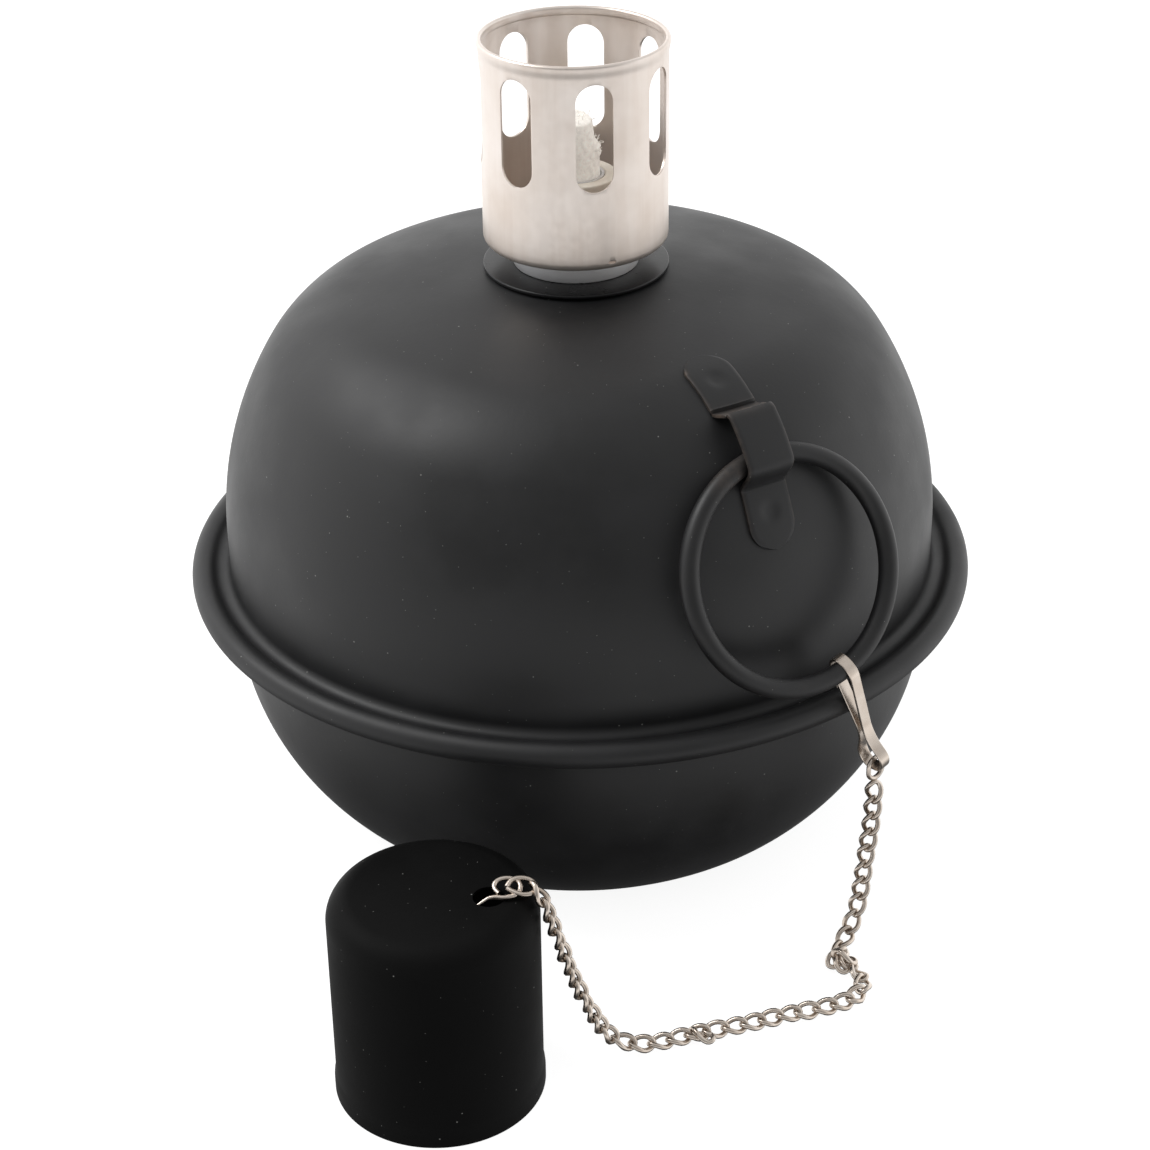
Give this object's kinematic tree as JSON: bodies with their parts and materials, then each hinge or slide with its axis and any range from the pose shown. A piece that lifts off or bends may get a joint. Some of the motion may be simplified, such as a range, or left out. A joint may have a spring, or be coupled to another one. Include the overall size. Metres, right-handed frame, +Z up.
{
  "type": "tabletop oil torch",
  "caption": "Round tabletop oil torch with a rolled seam, slotted wind guard, wick burner, carrying ring, and a snuffer cap on a chain.",
  "frame": {"origin": "centre of the flat base, on the surface the torch stands on", "axes": "+Z up along the axis of the reservoir and burner; -Y towards the side with the snuffer cap and chain; +X towards the side with the carrying ring"},
  "size_m": [0.154, 0.1948, 0.1572],
  "materials": {
    "black_paint": "matte black enamel, fine texture",
    "gloss_black_paint": "semi-gloss black enamel",
    "cap_paint": "matte black enamel, dusty",
    "nickel_plate": "bright nickel plate, smudged",
    "zinc_plate": "dull zinc plate",
    "wick_ring_plate": "pale zinc plate, tarnished edge",
    "chain_steel": "nickel plated wire, bright",
    "cotton": "undyed braided wick"
  },
  "bodies": {
    "pot": {"upper_shell": "black_paint", "lower_bowl": "black_paint", "neck_plate": "gloss_black_paint", "handle_strap": "black_paint", "chain_run": "chain_steel"},
    "burner": {"burner_collar": "zinc_plate", "wind_guard": "nickel_plate", "wick_tube": "zinc_plate", "wick_ring": "wick_ring_plate"},
    "wick": {"wick": "cotton"},
    "ring": {"handle_ring": "black_paint"},
    "clip": {"spring_clip": "chain_steel", "clip_link": "chain_steel"},
    "cap": {"snuffer_cap": "cap_paint", "cap_link": "chain_steel", "chain_end": "chain_steel"}
  },
  "joints": [
    {"name": "burner_lift", "type": "slide", "parent": "pot", "child": "burner", "axis": [0, 0, 1], "range_m": [0, 0.14]},
    {"name": "wick_feed", "type": "slide", "parent": "burner", "child": "wick", "axis": [0, 0, 1], "range_m": [-0.003, 0.012]},
    {"name": "ring_swing", "type": "hinge", "parent": "pot", "child": "ring", "pos_m": [0.03161, -0.05179, 0.09812], "axis": [-0.8356, -0.5472, -0.0478], "range_deg": [0, 90]},
    {"name": "clip_swing", "type": "hinge", "parent": "ring", "child": "clip", "pos_m": [0.0468, -0.06185, 0.0609], "axis": [-0.7399, -0.6106, -0.2823], "range_deg": [0, 45]},
    {"name": "cap_lift", "type": "slide", "parent": "pot", "child": "cap", "axis": [0, 0, 1], "range_m": [0, 0.045]}
  ]
}
